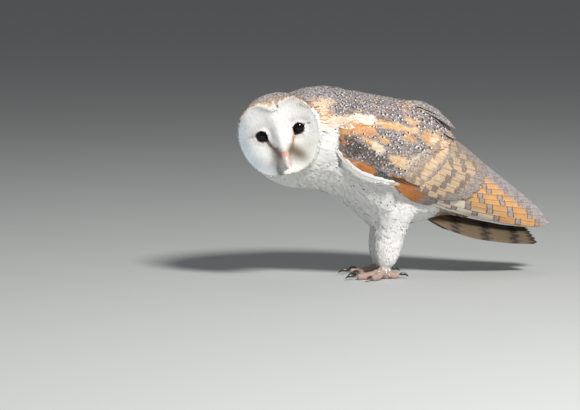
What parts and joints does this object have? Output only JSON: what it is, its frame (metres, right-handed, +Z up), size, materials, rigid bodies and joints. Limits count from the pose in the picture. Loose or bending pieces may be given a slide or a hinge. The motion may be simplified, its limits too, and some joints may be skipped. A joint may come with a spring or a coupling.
{
  "type": "barn owl",
  "caption": "Life-size barn owl as a still museum model: it stands leaning forward with folded wings and looks over its left side.",
  "frame": {"origin": "on the floor, under the middle of the whole bird's box", "axes": "+X towards the wing tips and tail, the body faces -X, +Y towards the bird's right, +Z up; the bird's left side faces -Y"},
  "size_m": [0.3786, 0.1294, 0.2189],
  "materials": {
    "eye": "near black, wet and glossy",
    "bill": "pinkish ivory horn",
    "claw": "dark horn",
    "toe": "scaly skin with sparse bristles",
    "skin": "down covered skin, with the coat's markings",
    "face_feathers": "white, dry and silky",
    "body_feathers": "white, soft, with small dark spots",
    "mantle_feathers": "pearl grey and golden buff, finely vermiculated, with dark and white spots",
    "covert_feathers": "golden buff and grey, finely vermiculated",
    "flight_feathers": "golden buff with grey bars",
    "tail_feathers": "buff and grey with dark bars"
  },
  "bodies": {
    "root": {"head": "face_feathers", "neck": "body_feathers", "trunk": "body_feathers", "bill_upper": "bill", "bill_lower": "bill", "eye_left": "eye", "scapulars_left": "mantle_feathers", "wing_left_coverts": "covert_feathers", "wing_left_secondaries": "flight_feathers", "wing_left_primaries": "flight_feathers", "thigh_left": "body_feathers", "shank_left": "body_feathers", "foot_left": "toe", "claw_left_inner": "claw", "claw_left_middle": "claw", "claw_left_outer": "claw", "claw_left_hind": "claw", "eye_right": "eye", "scapulars_right": "mantle_feathers", "wing_right_coverts": "covert_feathers", "wing_right_secondaries": "flight_feathers", "wing_right_primaries": "flight_feathers", "thigh_right": "body_feathers", "shank_right": "body_feathers", "foot_right": "toe", "claw_right_inner": "claw", "claw_right_middle": "claw", "claw_right_outer": "claw", "claw_right_hind": "claw", "tail": "tail_feathers"}
  },
  "joints": []
}
